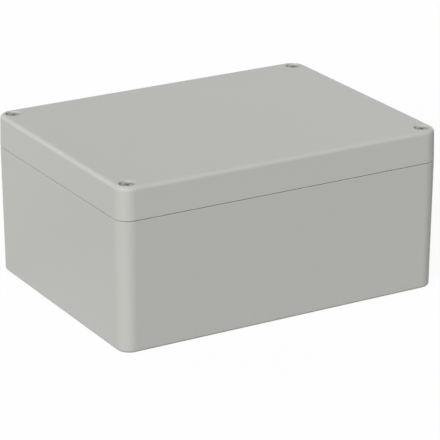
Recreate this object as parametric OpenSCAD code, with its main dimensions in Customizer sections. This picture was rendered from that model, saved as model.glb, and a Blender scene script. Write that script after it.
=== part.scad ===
// Sealed two-part plastic enclosure: a deep base, a shallow lid with a gasket in its groove,
// and four cross-recess screws that hold the lid down outside the seal.
// Origin at the middle of the underside, +Z up, long sides along X, millimetres.

/* [Box] */
// Length of the box along X, at the joint between base and lid
body_l = 200; // [160:0.5:260]
// Width of the box along Y, at the joint
body_w = 150.6; // [120:0.1:200]
// Height of the base, from its underside to the joint
base_h = 74.7; // [50:0.1:120]
// Height of the lid, from the joint to its top face
lid_h = 18.6; // [16:0.1:30]
// Radius of the upright corners at the joint
corner_r = 8.6; // [7:0.1:10]
// Mould draft of the base's outer walls, in degrees
base_draft = 0.7; // [0.1:0.1:1.5]
// Mould draft of the lid's outer walls, in degrees
lid_draft = 1.2; // [0.1:0.1:2]
// Radius round the lid's top edge
top_edge_r = 2.5; // [1:0.1:3]
// Radius round the base's bottom edge
bottom_edge_r = 1.65; // [0.5:0.05:3]
// Small radius on the two edges that meet at the joint
joint_edge_r = 0.25; // [0.1:0.05:0.4]
// Height of the narrow shadow groove that runs round the outside below the joint
reveal_h = 0.35; // [0.1:0.05:0.6]
// Depth of that groove
reveal_d = 1; // [0.4:0.05:1.2]

/* [Walls] */
// Thickness of the base's walls at the joint
base_wall = 4.4; // [4.2:0.1:5.5]
// Thickness of the base's floor
floor_t = 3.5; // [2:0.1:6]
// Thickness of the lid's top
lid_top_t = 3; // [2:0.1:5]
// Radius where the base's walls meet its floor inside
floor_edge_r = 2; // [0.5:0.1:3]
// Radius where the lid's walls meet its top inside
ceiling_edge_r = 1.2; // [0.5:0.1:2]

/* [Seal] */
// Thickness of the lid's rim outside the groove
rim_wall = 1.7; // [1.2:0.1:2.2]
// Width of the groove
groove_w = 3; // [2.4:0.1:3.4]
// Depth of the groove from the joint
groove_d = 4; // [3:0.1:6]
// Thickness of the lip inside the groove
lip_w = 1.2; // [0.8:0.1:1.5]
// Radius on the two edges of the lip, and on the base's inner edge below it
lip_edge_r = 0.3; // [0.1:0.05:0.35]
// Width of the ridge on the base that presses on the gasket
ridge_w = 1.6; // [1:0.1:2]
// Height of that ridge
ridge_h = 0.8; // [0.5:0.1:1.5]
// Radius on the ridge's two edges
ridge_edge_r = 0.4; // [0.1:0.05:0.45]
// Gap between the gasket and each side of the groove
gasket_gap = 0.2; // [0.1:0.05:0.4]
// Radius on the two edges of the gasket that face the base
gasket_edge_r = 0.6; // [0.2:0.05:0.7]
// Radius of the seal's corners, at its outer edge
seal_corner_r = 6; // [5.5:0.1:8]

/* [Lid screws] */
// Distance of each screw's axis from the two outer faces beside it
screw_inset = 7.8; // [7.4:0.1:9]
// Distance across the box from a screw's axis to the seal's outer edge
screw_to_seal = 5.6; // [5.6:0.1:7]
// Distance along the box from a screw's axis to where the seal steps out to the long wall
screw_to_turn = 18.4; // [17:0.1:24]
// Diameter of the column round a screw
boss_d = 13.6; // [12.6:0.1:14]
// Diameter of the sunk recess for a screw's head
recess_d = 8.6; // [8.6:0.1:9.4]
// Depth of that recess
recess_depth = 3.7; // [3.2:0.1:5]
// Width of the bevel round the recess's mouth
recess_bevel = 0.3; // [0.1:0.05:0.5]
// Diameter of the lid's hole for a screw's shank
lid_hole_d = 4.6; // [4.6:0.1:5]
// Diameter of the wider hole in the lid's underside
lid_core_d = 5.8; // [5.4:0.1:6.4]
// Depth of that wider hole from the joint
lid_core_depth = 9; // [4:0.1:11]
// Diameter of a screw's head
head_d = 8; // [7:0.1:8]
// Height of a screw's head
head_h = 2.9; // [2.4:0.1:3.1]
// Radius of the head's rounded shoulder
head_edge_r = 1.3; // [0.5:0.1:1.5]
// Span of the cross recess in the head
cross_span = 4.6; // [3.6:0.1:5]
// Width of each slot of the cross recess
cross_slot = 1.1; // [0.8:0.1:1.3]
// Depth of the cross recess
cross_depth = 1.9; // [1:0.1:2]
// Diameter of a screw's plain shank
shank_d = 4; // [3.6:0.1:4]
// Length of the plain shank under the head
shank_l = 13; // [8:0.1:13.5]
// Diameter of the screw's core below the shank
core_d = 2.8; // [2.4:0.1:2.8]
// Length of the screw under its head
screw_l = 30; // [24:0.5:35]
// Length of the screw's point
point_l = 2; // [1:0.1:3]
// Diameter of the hole in the base that a screw cuts its thread in
pilot_d = 3.4; // [3.4:0.1:3.6]
// Depth of that hole from the joint
pilot_depth = 26; // [22:0.5:40]
// Width of the bevel round that hole's mouth
pilot_bevel = 0.5; // [0.2:0.1:1]

/* [Fixing pockets] */
// Thickness of the outer wall beside a pocket
pocket_skin = 1.9; // [1.5:0.1:2.4]
// Thickness of the wall between a pocket and the seal
pocket_wall = 1.35; // [1:0.05:1.8]
// Depth of the lid's pockets from the joint
lid_pocket_depth = 13; // [8:0.1:13.5]
// Diameter of the hole in the floor of each pocket of the base
fixing_hole_d = 4.5; // [3.5:0.1:5.5]

/* [Board bosses] */
// Distance between the board bosses along X
board_pitch_x = 150; // [80:1:150]
// Distance between the board bosses along Y
board_pitch_y = 94; // [50:1:98]
// Diameter of a board boss
board_boss_d = 7; // [6:0.1:9]
// Height of a board boss above the floor
board_boss_h = 5; // [3:0.1:10]
// Diameter of the screw hole in a board boss
board_hole_d = 2.6; // [2:0.1:3.2]
// Depth of that hole
board_hole_depth = 6; // [3:0.1:6]
// Radius round the foot of a board boss
board_foot_r = 1; // [0.3:0.1:2]

/* [Hidden] */
$fn = 64;

// Overlap of a cut beyond the face it starts from
cut = 1;

// Half sizes of the seal's outer edge: along the end walls, along the side walls, and at the steps
seal_end_x = body_l / 2 - rim_wall;
seal_side_y = body_w / 2 - rim_wall;
screw_x = body_l / 2 - screw_inset;
screw_y = body_w / 2 - screw_inset;
seal_step_x = screw_x - screw_to_turn;
seal_step_y = screw_y - screw_to_seal;

// Beside a fixing pocket the seal steps in by two equal turns, one out of the other
seal_turn_r = (seal_side_y - seal_step_y) / 2;

// Least radius that an inside fillet leaves round the seal's turns
turn_left = 0.2;
floor_r = min(floor_edge_r, seal_turn_r - base_wall + rim_wall - turn_left);
ceiling_r = min(ceiling_edge_r, seal_turn_r - groove_w - lip_w - turn_left);

// The fixing holes stand in the middle of the room that each pocket leaves
pocket_x = [seal_step_x + pocket_wall, screw_x - boss_d / 2];
pocket_y = [seal_step_y + pocket_wall, body_w / 2 - pocket_skin];
fixing_x = (pocket_x[0] + pocket_x[1]) / 2;
fixing_y = (pocket_y[0] + pocket_y[1]) / 2;

top_z = base_h + lid_h;
seat_z = top_z - recess_depth;
gasket_w = groove_w - 2 * gasket_gap;

plastic_grey = [0.72, 0.725, 0.705];
gasket_grey = [0.66, 0.64, 0.61];
steel_grey = [0.58, 0.58, 0.57];

// Repeats its children in all four corners by mirroring the one at +X +Y
module four_corners() {
    for (flip_x = [0, 1], flip_y = [0, 1])
        mirror([flip_x, 0, 0]) mirror([0, flip_y, 0]) children();
}

// Rectangle with round corners, from its half sizes
module rounded_rect(half_x, half_y, r) {
    square([2 * half_x, 2 * (half_y - r)], center = true);
    square([2 * (half_x - r), 2 * half_y], center = true);
    four_corners() translate([half_x - r, half_y - r]) circle(r);
}

// Block that fills the seal's outer edge, grown by an even amount, or shrunk where that is negative.
// It is as long and as wide as the box, and steps in at each corner to leave the screw outside.
module seal_block(grow, height) {
    fillet_r = seal_turn_r - grow;
    linear_extrude(height)
        rounded_rect(seal_step_x + grow, seal_side_y + grow, seal_turn_r + grow);
    linear_extrude(height)
        rounded_rect(seal_end_x + grow, seal_step_y + grow, seal_corner_r + grow);
    four_corners() translate([seal_step_x + grow, seal_step_y + grow, 0])
        linear_extrude(height) difference() {
            translate([-cut, -cut]) square(fillet_r + cut);
            translate([fillet_r, fillet_r]) circle(fillet_r);
        }
}

// Ring between two distances inside the seal's outer edge
module seal_ring(near, far, height) {
    difference() {
        seal_block(-near, height);
        translate([0, 0, -cut]) seal_block(-far, height + 2 * cut);
    }
}

// Takes a section round the seal: its X is the distance inward from the seal's outer edge, its Y the height
module seal_sweep() {
    end_y = seal_step_y - seal_corner_r;
    four_corners() {
        translate([0, seal_side_y, 0]) rotate([90, 0, 90])
            linear_extrude(seal_step_x - seal_turn_r) mirror([1, 0]) children();
        translate([seal_step_x - seal_turn_r, seal_side_y - seal_turn_r, 0])
            rotate_extrude(angle = 90) translate([seal_turn_r, 0]) mirror([1, 0]) children();
        translate([seal_step_x + seal_turn_r, seal_step_y + seal_turn_r, 0]) rotate(180)
            rotate_extrude(angle = 90) translate([seal_turn_r, 0]) children();
        translate([seal_step_x + seal_turn_r, seal_step_y, 0]) rotate([90, 0, 90])
            linear_extrude(seal_end_x - seal_corner_r - seal_step_x - seal_turn_r)
                mirror([1, 0]) children();
        translate([seal_end_x - seal_corner_r, end_y, 0])
            rotate_extrude(angle = 90) translate([seal_corner_r, 0]) mirror([1, 0]) children();
        translate([seal_end_x, end_y, 0]) rotate([90, 0, 0])
            linear_extrude(end_y) mirror([1, 0]) children();
    }
}

// Sliver between the corner at the origin and a round inside it.
// Taken off it rounds an edge, and added it fills an inside corner.
module corner_sliver(r) {
    difference() {
        translate([-cut, -cut]) square(r + cut);
        translate([r, r]) circle(r);
    }
}

// Section of a strip that stands on the X axis, with its two upper edges rounded
module strip_section(width, height, r) {
    difference() {
        square([width, height]);
        for (side = [0, 1]) translate([side * width, height])
            mirror([side, 0]) mirror([0, 1]) corner_sliver(r);
    }
}

// Pockets between the seal's turns and the screw columns, against the long walls
module pockets(height) {
    difference() {
        four_corners() translate([seal_step_x, seal_step_y, 0])
            cube([screw_x - seal_step_x, pocket_y[1] - seal_step_y, height]);
        translate([0, 0, -cut]) {
            seal_block(pocket_wall, height + 2 * cut);
            four_corners() translate([screw_x, screw_y, 0])
                cylinder(d = boss_d, h = height + 2 * cut);
        }
    }
}

// Section of a leaning wall, outward along X and up along Y from a corner's axis,
// with a rounded edge at its foot and its head
module wall_section(foot, head, height, foot_r, head_r) {
    lean = atan((head - foot) / height);
    foot_c = [foot + foot_r * (tan(lean) - 1 / cos(lean)), foot_r];
    head_c = [head - head_r * (tan(lean) + 1 / cos(lean)), height - head_r];
    outward = [cos(lean), -sin(lean)];
    polygon([
        [0, 0], [foot_c[0], 0], foot_c + foot_r * outward,
        head_c + head_r * outward, [head_c[0], height], [0, height]
    ]);
    translate(foot_c) circle(foot_r);
    translate(head_c) circle(head_r);
}

// Solid box whose outside is a wall section taken round a rectangle with round corners
module swept_box(height) {
    straight_x = body_l - 2 * corner_r;
    straight_y = body_w - 2 * corner_r;
    translate([-straight_x / 2, -straight_y / 2, 0]) cube([straight_x, straight_y, height]);
    for (turn = [0, 180]) rotate(turn) {
        translate([straight_x / 2, straight_y / 2, 0]) rotate([90, 0, 0])
            linear_extrude(straight_y) children();
        translate([straight_x / 2, straight_y / 2, 0]) rotate_extrude(angle = 90) children();
        rotate(90) translate([straight_y / 2, straight_x / 2, 0]) rotate([90, 0, 0])
            linear_extrude(straight_x) children();
        rotate(90) translate([straight_y / 2, straight_x / 2, 0])
            rotate_extrude(angle = 90) children();
    }
}

// Deep half: outer walls, open inside, fixing pockets, screw holes, ridge and board bosses
module base() {
    wall_h = base_h - reveal_h;
    foot = corner_r - wall_h * tan(base_draft);
    inside = base_wall - rim_wall;
    color(plastic_grey) {
        difference() {
            swept_box(base_h) {
                wall_section(foot, corner_r, wall_h, bottom_edge_r, joint_edge_r);
                translate([0, wall_h - cut]) square([corner_r - reveal_d, reveal_h + cut]);
            }
            translate([0, 0, floor_t]) {
                seal_block(rim_wall - base_wall, base_h);
                pockets(base_h);
            }
            four_corners() {
                translate([fixing_x, fixing_y, -cut])
                    cylinder(d = fixing_hole_d, h = floor_t + 2 * cut);
                translate([screw_x, screw_y, base_h - pilot_depth])
                    cylinder(d = pilot_d, h = pilot_depth + cut);
                translate([screw_x, screw_y, base_h - pilot_bevel])
                    cylinder(r1 = pilot_d / 2, r2 = pilot_d / 2 + 2 * pilot_bevel, h = 2 * pilot_bevel);
            }
            four_corners() translate([board_pitch_x / 2, board_pitch_y / 2, 0]) board_hole();
            seal_sweep() translate([inside, base_h]) rotate(180) corner_sliver(lip_edge_r);
        }
        seal_sweep() translate([inside, floor_t]) corner_sliver(floor_r);
        seal_sweep() translate([(groove_w - ridge_w) / 2, base_h - cut])
            strip_section(ridge_w, ridge_h + cut, ridge_edge_r);
        four_corners() translate([board_pitch_x / 2, board_pitch_y / 2, floor_t]) difference() {
            union() {
                cylinder(d = board_boss_d, h = board_boss_h);
                rotate_extrude() translate([board_boss_d / 2, 0]) corner_sliver(board_foot_r);
            }
            translate([0, 0, -floor_t]) board_hole();
        }
    }
}

// Screw hole of a board boss, above the underside of the base
module board_hole() {
    translate([0, 0, floor_t + board_boss_h - board_hole_depth])
        cylinder(d = board_hole_d, h = board_hole_depth + cut);
}

// Shallow half: outer cap, open inside, seal groove, cored pockets and stepped screw holes
module lid() {
    foot = corner_r;
    head = foot - lid_h * tan(lid_draft);
    color(plastic_grey) {
        difference() {
            translate([0, 0, base_h]) swept_box(lid_h)
                wall_section(foot, head, lid_h, joint_edge_r, top_edge_r);
            translate([0, 0, base_h - cut]) {
                seal_block(-groove_w - lip_w, lid_h - lid_top_t + cut);
                seal_ring(0, groove_w, groove_d + cut);
                pockets(lid_pocket_depth + cut);
            }
            seal_sweep() translate([groove_w, base_h]) corner_sliver(lip_edge_r);
            seal_sweep() translate([groove_w + lip_w, base_h]) mirror([1, 0]) corner_sliver(lip_edge_r);
            four_corners() translate([screw_x, screw_y, 0]) {
                translate([0, 0, base_h - cut]) cylinder(d = lid_hole_d, h = lid_h + 2 * cut);
                translate([0, 0, base_h - cut]) cylinder(d = lid_core_d, h = lid_core_depth + cut);
                translate([0, 0, seat_z]) cylinder(d = recess_d, h = recess_depth + cut);
                translate([0, 0, top_z - recess_bevel])
                    cylinder(d1 = recess_d, d2 = recess_d + 4 * recess_bevel, h = 2 * recess_bevel);
            }
        }
        seal_sweep() translate([groove_w + lip_w, top_z - lid_top_t])
            mirror([0, 1]) corner_sliver(ceiling_r);
    }
}

// Endless strip that lies on the floor of the lid's groove, pressed by the base's ridge
module gasket() {
    color(gasket_grey) seal_sweep() translate([gasket_gap, base_h + groove_d])
        mirror([0, 1]) strip_section(gasket_w, groove_d - ridge_h, gasket_edge_r);
}

// Screw with a rounded head and a cross recess, its seat at the height of the recess's floor
module lid_screw(side_x, side_y) {
    head_r = head_d / 2;
    color(steel_grey) translate([side_x * screw_x, side_y * screw_y, seat_z]) {
        difference() {
            rotate_extrude() {
                square([head_r - head_edge_r, head_h]);
                square([head_r, head_h - head_edge_r]);
                intersection() {
                    translate([head_r - head_edge_r, head_h - head_edge_r]) circle(head_edge_r);
                    square([head_r, head_h]);
                }
            }
            translate([0, 0, head_h - cross_depth]) for (turn = [45, 135]) rotate(turn)
                translate([-cross_span / 2, -cross_slot / 2, 0])
                    cube([cross_span, cross_slot, cross_depth + cut]);
        }
        translate([0, 0, -shank_l]) cylinder(d = shank_d, h = shank_l);
        translate([0, 0, point_l - screw_l]) cylinder(d = core_d, h = screw_l - point_l - shank_l);
        translate([0, 0, -screw_l]) cylinder(d1 = core_d / 4, d2 = core_d, h = point_l);
    }
}

base();
lid();
gasket();
lid_screw(-1, -1);  // lid_screw_front_left
lid_screw(1, -1);  // lid_screw_front_right
lid_screw(-1, 1);  // lid_screw_rear_left
lid_screw(1, 1);  // lid_screw_rear_right
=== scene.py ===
"""A sealed plastic box on a pale floor: a deep base, a shallow lid with its gasket, and four screws."""

import math

import bmesh
import bpy
from mathutils import Matrix, Vector


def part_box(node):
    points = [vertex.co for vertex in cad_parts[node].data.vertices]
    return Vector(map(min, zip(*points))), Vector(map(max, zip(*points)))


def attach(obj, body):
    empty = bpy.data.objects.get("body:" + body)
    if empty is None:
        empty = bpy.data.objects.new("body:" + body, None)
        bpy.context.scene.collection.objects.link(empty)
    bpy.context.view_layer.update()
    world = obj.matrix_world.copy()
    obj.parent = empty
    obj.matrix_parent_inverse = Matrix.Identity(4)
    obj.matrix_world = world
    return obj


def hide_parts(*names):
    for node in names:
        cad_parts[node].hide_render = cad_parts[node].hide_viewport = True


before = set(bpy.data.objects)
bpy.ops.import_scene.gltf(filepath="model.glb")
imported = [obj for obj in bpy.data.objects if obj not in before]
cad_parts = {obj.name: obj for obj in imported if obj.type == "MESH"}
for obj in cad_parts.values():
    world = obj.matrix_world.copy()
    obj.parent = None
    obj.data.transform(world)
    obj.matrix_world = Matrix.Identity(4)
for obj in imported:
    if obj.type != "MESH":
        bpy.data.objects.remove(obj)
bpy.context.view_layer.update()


# Base and lid
# The two halves of the box, each moulded in one shot from light grey ABS. The mould's outer half is
# spark eroded, which leaves a fine dull grain outside and on the rims, and its core is polished, so
# the inside is glossier. The colour drifts very slightly along the way that the plastic flowed.
MM = 0.001
BOX_H = 93.3 * MM
JOINT_Z = 74.7 * MM
CORNER_AXIS = (91.4 * MM, 66.7 * MM)
CORNER_R = 8.6 * MM
OUTER_SKIN = 1.3 * MM
RIM_BAND = 1.2 * MM
PLASTIC = (0.462, 0.468, 0.440)
PLASTIC_DRIFT = 0.985
DRIFT_SIZE = 60 * MM
DRIFT_DETAIL = 3.0
GRAIN_SIZE = 0.45 * MM
GRAIN_DETAIL = 3.0
GRAIN_BREAKUP = 0.6
GRAIN_DEPTH = 0.03 * MM
GRAIN_ROUGHNESS = 0.5
GRAIN_ROUGHNESS_SWING = 0.08
GRAIN_GLOSS = 0.25
POLISHED_ROUGHNESS = 0.3
POLISHED_GLOSS = 0.5
POLISHED_GLOSS_ROUGHNESS = 0.12


class Link:
    """An output of a shader node, with the sums that finishes are written in."""

    def __init__(self, finish, socket):
        self.finish = finish
        self.socket = socket

    def sum(self, operation, first, second):
        return self.finish.node("ShaderNodeMath", {"operation": operation}, {0: first, 1: second})

    def __add__(self, other):
        return self.sum("ADD", self, other)

    def __radd__(self, other):
        return self.sum("ADD", other, self)

    def __sub__(self, other):
        return self.sum("SUBTRACT", self, other)

    def __rsub__(self, other):
        return self.sum("SUBTRACT", other, self)

    def __mul__(self, other):
        return self.sum("MULTIPLY", self, other)

    def __rmul__(self, other):
        return self.sum("MULTIPLY", other, self)

    def __pow__(self, other):
        return self.sum("POWER", self, other)

    def __abs__(self):
        return self.sum("ABSOLUTE", self, 0.0)

    def __lt__(self, other):
        return self.sum("LESS_THAN", self, other)

    def __gt__(self, other):
        return self.sum("GREATER_THAN", self, other)


SOCKETS = {
    "base_color": "Base Color", "roughness": "Roughness", "metallic": "Metallic",
    "specular_ior_level": "Specular IOR Level", "normal": "Normal",
    "coat_weight": "Coat Weight", "coat_roughness": "Coat Roughness",
}


class Finish:
    """A tree of shader nodes that is filled one call at a time."""

    def __init__(self, owner):
        owner.use_nodes = True
        self.owner = owner
        self.tree = owner.node_tree
        self.tree.nodes.clear()

    def node(self, kind, settings=None, sockets=None, output=0):
        made = self.tree.nodes.new(kind)
        for name, value in (settings or {}).items():
            setattr(made, name, value)
        for name, value in (sockets or {}).items():
            if isinstance(value, Link):
                self.tree.links.new(value.socket, made.inputs[name])
            else:
                made.inputs[name].default_value = value
        return Link(self, made.outputs[output]) if made.outputs else made

    def place(self):
        return self.node("ShaderNodeTexCoord", output="Object")

    def along(self, axis):
        return self.node("ShaderNodeSeparateXYZ", None, {"Vector": self.place()}, axis)

    def noise(self, size, detail=2.0, breakup=0.5):
        sockets = {
            "Vector": self.place(), "Scale": 1 / size, "Detail": detail, "Roughness": breakup,
        }
        return self.node("ShaderNodeTexNoise", None, sockets, "Fac")

    def blend(self, share, first, second):
        """The first colour, and the second in its place as the share goes from 0 to 1."""
        sockets = {0: share, 6: (*first, 1), 7: (*second, 1)}
        return self.node("ShaderNodeMix", {"data_type": "RGBA"}, sockets, 2)

    def mixed(self, share, first, second):
        """The first shader, and the second in its place as the share goes from 0 to 1."""
        return self.node("ShaderNodeMixShader", None, {0: share, 1: first, 2: second})

    def bump(self, height, depth, strength=1.0):
        sockets = {"Height": height, "Distance": depth, "Strength": strength}
        return self.node("ShaderNodeBump", None, sockets)

    def surface(self, **sockets):
        named = {SOCKETS[name]: value for name, value in sockets.items()}
        shader = self.node("ShaderNodeBsdfPrincipled", None, named)
        self.node("ShaderNodeOutputMaterial", None, {"Surface": shader})
        return self.owner


def dimmed(colour, share):
    return tuple(channel * share for channel in colour)


def inside_box(finish):
    """1 deeper than the outer skin, and 0 on the outside and on the rims at the joint."""
    x, y, z = [finish.along(axis) for axis in "XYZ"]
    past_x, past_y = [
        across.sum("MAXIMUM", abs(across) - axis, 0.0) for across, axis in zip((x, y), CORNER_AXIS)
    ]
    reach = (past_x * past_x + past_y * past_y) ** 0.5
    deep = (reach < CORNER_R - OUTER_SKIN) * (z > OUTER_SKIN) * (z < BOX_H - OUTER_SKIN)
    return deep * (abs(z - JOINT_Z) > RIM_BAND)


def grained_plastic():
    finish = Finish(bpy.data.materials.new("grained_plastic"))
    drift = finish.noise(DRIFT_SIZE, DRIFT_DETAIL)
    grain = finish.noise(GRAIN_SIZE, GRAIN_DETAIL, GRAIN_BREAKUP)
    polished = inside_box(finish)
    dull = GRAIN_ROUGHNESS + GRAIN_ROUGHNESS_SWING * grain
    return finish.surface(
        base_color=finish.blend(drift, PLASTIC, dimmed(PLASTIC, PLASTIC_DRIFT)),
        roughness=dull + (POLISHED_ROUGHNESS - GRAIN_ROUGHNESS) * polished,
        specular_ior_level=GRAIN_GLOSS,
        coat_weight=POLISHED_GLOSS * polished,
        coat_roughness=POLISHED_GLOSS_ROUGHNESS,
        normal=finish.bump(grain * (1 - polished), GRAIN_DEPTH),
    )


plastic = grained_plastic()
for half in ("base", "lid"):
    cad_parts[half].material_slots[0].material = plastic


# Gasket
# An endless strip of soft closed-cell foam, laid in the lid's groove by hand.
# Its skin is dull, a little warmer than the plastic and pitted by small cells.
FOAM = (0.46, 0.445, 0.405)
FOAM_CELL = (0.38, 0.365, 0.33)
CELL_SIZE = 0.35 * MM
CELL_DEPTH = 0.05 * MM
CELL_BUMP = 0.6
MOTTLE_SIZE = 4 * MM
CELL_TINT = 0.5
CELL_TINT_BY_MOTTLE = 0.6
CELL_TINT_BY_DISTANCE = 0.7
FOAM_ROUGHNESS = 0.8
FOAM_ROUGHNESS_SWING = 0.1


def cellular_foam():
    finish = Finish(bpy.data.materials.new("cellular_foam"))
    sockets = {"Vector": finish.place(), "Scale": 1 / CELL_SIZE}
    cells = finish.node("ShaderNodeTexVoronoi", {"feature": "F1"}, sockets, "Distance")
    mottle = finish.noise(MOTTLE_SIZE)
    tint = CELL_TINT_BY_MOTTLE * mottle + CELL_TINT - CELL_TINT_BY_DISTANCE * cells
    return finish.surface(
        base_color=finish.blend(tint, FOAM, FOAM_CELL),
        roughness=FOAM_ROUGHNESS + FOAM_ROUGHNESS_SWING * mottle,
        normal=finish.bump(cells, CELL_DEPTH, CELL_BUMP),
    )


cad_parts["gasket"].material_slots[0].material = cellular_foam()


# Lid screws
# Four steel screws with a rounded head, a cross recess and a coarse thread that cuts its own way
# into the base. They are cold headed, thread rolled and zinc plated.
HEAD_R = 4.0 * MM
HEAD_H = 2.9 * MM
HEAD_EDGE_R = 1.3 * MM
HEAD_EDGE_STEPS = 8
SEAT_GAP = 0.02 * MM
SHANK_R = 2.0 * MM
SHANK_L = 13.0 * MM
CORE_R = 1.4 * MM
SCREW_L = 30.0 * MM
POINT_L = 2.0 * MM
TIP_R = 0.35 * MM
THREAD_R = 2.0 * MM
THREAD_PITCH = 1.8 * MM
THREAD_FLANK = 0.25
THREAD_CREST = 0.12
THREAD_RUN_OUT = 1.0 * MM
CROSS_TOP = (4.6 * MM, 1.1 * MM)
CROSS_FLOOR = (2.4 * MM, 0.75 * MM)
CROSS_DEPTH = 1.9 * MM
PUNCH_ABOVE = 0.2
AROUND = 48
ROWS_PER_PITCH = 24
SHARP_EDGE = math.radians(35)
ZINC = (0.350, 0.348, 0.325)
ZINC_DULL = (0.273, 0.271, 0.254)
BLOOM_SIZE = 1.2 * MM
BLOOM_DETAIL = 4.0
PLATE_ROUGHNESS = 0.60
PLATE_ROUGHNESS_SWING = 0.14
SCUFF_SIZE = 0.12 * MM
SCUFF_DEPTH = 0.004 * MM


def thread_height(z, angle):
    """How far the thread stands out of the core, from 0 to 1, at a height and an angle."""
    along = (z / THREAD_PITCH - angle / math.tau) % 1.0
    from_crest = abs(along - 0.5) / THREAD_FLANK
    ridge = max(0.0, 1.0 - max(0.0, from_crest - THREAD_CREST))
    below_shank = (-SHANK_L - z) / THREAD_RUN_OUT
    above_tip = (z + SCREW_L) / POINT_L
    return ridge * max(0.0, min(1.0, below_shank, above_tip))


def screw_rings():
    """Rings from the tip to the top of the head: height, plain radius, and whether threaded."""
    rings = []
    row = THREAD_PITCH / ROWS_PER_PITCH
    rows = round((SCREW_L - SHANK_L) / row)
    for step in range(rows + 1):
        z = -SCREW_L + (SCREW_L - SHANK_L) * step / rows
        share = min(1.0, (z + SCREW_L) / POINT_L)
        rings.append((z, TIP_R + (CORE_R - TIP_R) * share, True))
    rings.append((-SHANK_L, SHANK_R, False))
    rings.append((SEAT_GAP, SHANK_R, False))
    rings.append((SEAT_GAP, HEAD_R, False))
    shoulder_z = HEAD_H - HEAD_EDGE_R
    for step in range(HEAD_EDGE_STEPS + 1):
        turn = math.pi / 2 * step / HEAD_EDGE_STEPS
        z = shoulder_z + HEAD_EDGE_R * math.sin(turn)
        rings.append((z, HEAD_R - HEAD_EDGE_R * (1 - math.cos(turn)), False))
    return rings


def screw_blank():
    mesh = bmesh.new()
    loops = []
    for z, radius, threaded in screw_rings():
        loop = []
        for step in range(AROUND):
            angle = math.tau * step / AROUND
            r = radius
            if threaded:
                r += (THREAD_R - CORE_R) * thread_height(z, angle)
            loop.append(mesh.verts.new((r * math.cos(angle), r * math.sin(angle), z)))
        loops.append(loop)
    for low, high in zip(loops, loops[1:]):
        for step in range(AROUND):
            after = (step + 1) % AROUND
            mesh.faces.new((low[step], low[after], high[after], high[step]))
    mesh.faces.new(list(reversed(loops[0])))
    mesh.faces.new(loops[-1])
    data = bpy.data.meshes.new("screw_blank")
    mesh.to_mesh(data)
    mesh.free()
    return bpy.data.objects.new("screw_blank", data)


def cross_outline(span, slot):
    """Twelve corners of a cross, anticlockwise."""
    long, short = span / 2, slot / 2
    wing = [(long, -short), (long, short), (short, short)]
    corners = []
    for quarter in range(4):
        turn = Matrix.Rotation(math.pi / 2 * quarter, 2)
        corners += [turn @ Vector(corner) for corner in wing]
    return corners


def cross_punch():
    """The punch that forms the recess: a cross that narrows as it goes down."""
    mesh = bmesh.new()
    top, floor = cross_outline(*CROSS_TOP), cross_outline(*CROSS_FLOOR)
    raised = [high + (high - low) * PUNCH_ABOVE for high, low in zip(top, floor)]
    upper = [mesh.verts.new((*p, HEAD_H + CROSS_DEPTH * PUNCH_ABOVE)) for p in raised]
    lower = [mesh.verts.new((*p, HEAD_H - CROSS_DEPTH)) for p in floor]
    for step in range(len(upper)):
        after = (step + 1) % len(upper)
        mesh.faces.new((lower[step], lower[after], upper[after], upper[step]))
    mesh.faces.new(upper)
    mesh.faces.new(list(reversed(lower)))
    bmesh.ops.triangulate(mesh, faces=list(mesh.faces))
    data = bpy.data.meshes.new("cross_punch")
    mesh.to_mesh(data)
    mesh.free()
    return bpy.data.objects.new("cross_punch", data)


def finished_screw():
    """The screw with its recess punched, as a mesh with its seat at the origin."""
    blank, punch = screw_blank(), cross_punch()
    for tool in (blank, punch):
        bpy.context.scene.collection.objects.link(tool)
    cut = blank.modifiers.new("recess", "BOOLEAN")
    cut.operation = "DIFFERENCE"
    cut.solver = "EXACT"
    cut.object = punch
    depsgraph = bpy.context.evaluated_depsgraph_get()
    data = bpy.data.meshes.new_from_object(blank.evaluated_get(depsgraph))
    for tool in (blank, punch):
        bpy.data.objects.remove(tool)
    data.shade_smooth()
    data.set_sharp_from_angle(angle=SHARP_EDGE)
    return data


def plated_steel():
    finish = Finish(bpy.data.materials.new("plated_steel"))
    bloom = finish.noise(BLOOM_SIZE, BLOOM_DETAIL)
    scuff = finish.noise(SCUFF_SIZE)
    return finish.surface(
        base_color=finish.blend(bloom, ZINC, ZINC_DULL),
        metallic=1.0,
        roughness=PLATE_ROUGHNESS + PLATE_ROUGHNESS_SWING * bloom,
        normal=finish.bump(scuff, SCUFF_DEPTH),
    )


screw_mesh = finished_screw()
screw_mesh.materials.append(plated_steel())
for corner in ("front_left", "front_right", "rear_left", "rear_right"):
    low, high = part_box("lid_screw_" + corner)
    screw = bpy.data.objects.new("steel_screw_" + corner, screw_mesh)
    screw.location = ((low.x + high.x) / 2, (low.y + high.y) / 2, high.z - HEAD_H)
    bpy.context.scene.collection.objects.link(screw)
    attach(screw, "screw_" + corner)
    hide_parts("lid_screw_" + corner)


# Floor, light and camera
# A pale seamless sheet under even studio light: a broad lamp high at the front left, and two low
# ones behind that keep the far sides from going dark. The sheet and the room show white to the
# camera and in reflections. The sheet is cut away under the box and can't be seen from below.
FLOOR_HALF = 6.0
FLOOR_Z = -0.1 * MM
FLOOR_UNDER = 3 * MM
FLOOR_ARC_STEPS = 6
FLOOR_GREY = (0.30, 0.30, 0.30, 1)
FLOOR_WHITE = (0.96, 0.96, 0.96, 1)
WHITE = (1, 1, 1, 1)
FLOOR_GLOW_SHARE = 0.92
ROOM_LIGHT = 0.375
LAMPS = {
    "key_lamp": ((-0.640, -0.577, 0.508), 3.0),
    "rear_lamp": ((-0.420, 0.901, 0.105), 0.80),
    "side_lamp": ((0.866, 0.500, 0.0), 1.55),
}
LAMP_SPREAD = math.radians(40)
VIEW_AZIMUTH = math.radians(-30.135)
VIEW_ELEVATION = math.radians(20.37)
VIEW_ROLL = math.radians(0.036)
VIEW_DISTANCE = 1443.775 * MM
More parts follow.
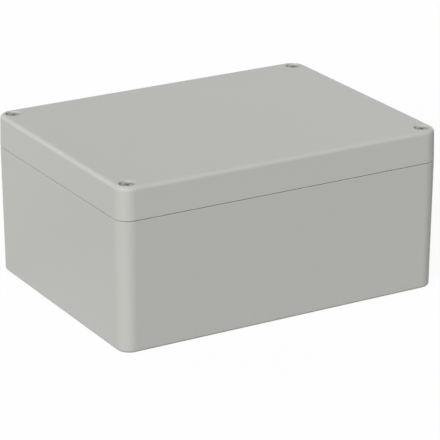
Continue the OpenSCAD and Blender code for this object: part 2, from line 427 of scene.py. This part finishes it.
VIEW_AIM = Vector((0, 0, 50 * MM))
VIEW_ASIDE = (2.509 * MM, -14.971 * MM)
VIEW_LENS = 210.07
VIEW_SENSOR = 36


def seen_directly(finish):
    """1 for rays that the camera or a reflection sees, 0 for rays that only carry light."""
    camera_ray, glossy_ray, clear_ray = [
        finish.node("ShaderNodeLightPath", output=kind)
        for kind in ("Is Camera Ray", "Is Glossy Ray", "Is Transmission Ray")
    ]
    seen = camera_ray.sum("MAXIMUM", camera_ray, glossy_ray)
    return seen.sum("MAXIMUM", seen, clear_ray)


def white_sheet():
    finish = Finish(bpy.data.materials.new("white_sheet"))
    lighting = finish.node("ShaderNodeBsdfDiffuse", None, {"Color": FLOOR_GREY})
    matt = finish.node("ShaderNodeBsdfDiffuse", None, {"Color": FLOOR_WHITE})
    glow = finish.node("ShaderNodeEmission", None, {"Color": WHITE, "Strength": 1.0})
    shown = finish.mixed(FLOOR_GLOW_SHARE, matt, glow)
    above = finish.mixed(seen_directly(finish), lighting, shown)
    below = finish.node("ShaderNodeBsdfTransparent")
    back_side = finish.node("ShaderNodeNewGeometry", output="Backfacing")
    sides = finish.mixed(back_side, above, below)
    finish.node("ShaderNodeOutputMaterial", None, {"Surface": sides})
    return finish.owner


def corner_arcs(axis_x, axis_y, radius):
    """A rectangle's outline with rounded corners, anticlockwise."""
    points = []
    for quarter, (side_x, side_y) in enumerate(((1, 1), (-1, 1), (-1, -1), (1, -1))):
        for step in range(FLOOR_ARC_STEPS + 1):
            turn = math.pi / 2 * (quarter + step / FLOOR_ARC_STEPS)
            points.append((side_x * axis_x + radius * math.cos(turn),
                           side_y * axis_y + radius * math.sin(turn)))
    return points


def sheet():
    """The floor, cut away under the box so that the underside can be lit and seen from below."""
    outer = corner_arcs(FLOOR_HALF, FLOOR_HALF, FLOOR_HALF)
    opening = corner_arcs(*CORNER_AXIS, CORNER_R - FLOOR_UNDER)
    mesh = bmesh.new()
    edges = []
    for outline in (outer, opening):
        verts = [mesh.verts.new((x, y, FLOOR_Z)) for x, y in outline]
        edges += [mesh.edges.new(pair) for pair in zip(verts, verts[1:] + verts[:1])]
    bmesh.ops.triangle_fill(mesh, use_beauty=True, edges=edges, normal=(0, 0, 1))
    data = bpy.data.meshes.new("floor_sheet")
    mesh.to_mesh(data)
    mesh.free()
    data.materials.append(white_sheet())
    made = bpy.data.objects.new("floor_sheet", data)
    bpy.context.scene.collection.objects.link(made)


def room():
    world = bpy.data.worlds.new("room")
    bpy.context.scene.world = world
    finish = Finish(world)
    lighting = finish.node("ShaderNodeBackground", None, {"Color": WHITE, "Strength": ROOM_LIGHT})
    shown = finish.node("ShaderNodeBackground", None, {"Color": WHITE, "Strength": 1.0})
    around = finish.mixed(seen_directly(finish), lighting, shown)
    finish.node("ShaderNodeOutputWorld", None, {"Surface": around})


def soft_lamp(name, come_from, strength):
    data = bpy.data.lights.new(name, "SUN")
    data.energy = strength
    data.angle = LAMP_SPREAD
    lamp = bpy.data.objects.new(name, data)
    lamp.rotation_mode = "QUATERNION"
    lamp.rotation_quaternion = Vector(come_from).to_track_quat("Z", "Y")
    bpy.context.scene.collection.objects.link(lamp)


def camera():
    back = Vector((math.sin(VIEW_AZIMUTH) * math.cos(VIEW_ELEVATION),
                   -math.cos(VIEW_AZIMUTH) * math.cos(VIEW_ELEVATION),
                   math.sin(VIEW_ELEVATION)))
    level = Vector((math.cos(VIEW_AZIMUTH), math.sin(VIEW_AZIMUTH), 0))
    upright = back.cross(level)
    right = math.cos(VIEW_ROLL) * level + math.sin(VIEW_ROLL) * upright
    up = math.cos(VIEW_ROLL) * upright - math.sin(VIEW_ROLL) * level
    place = VIEW_AIM + back * VIEW_DISTANCE + right * VIEW_ASIDE[0] + up * VIEW_ASIDE[1]
    data = bpy.data.cameras.new("camera")
    data.sensor_width = VIEW_SENSOR
    data.lens = VIEW_LENS
    made = bpy.data.objects.new("camera", data)
    turn = Matrix((right, up, back)).transposed().to_4x4()
    made.matrix_world = Matrix.Translation(place) @ turn
    bpy.context.scene.collection.objects.link(made)
    bpy.context.scene.camera = made


sheet()
room()
for name, (come_from, strength) in LAMPS.items():
    soft_lamp(name, come_from, strength)
camera()
bpy.context.scene.view_settings.view_transform = "Standard"
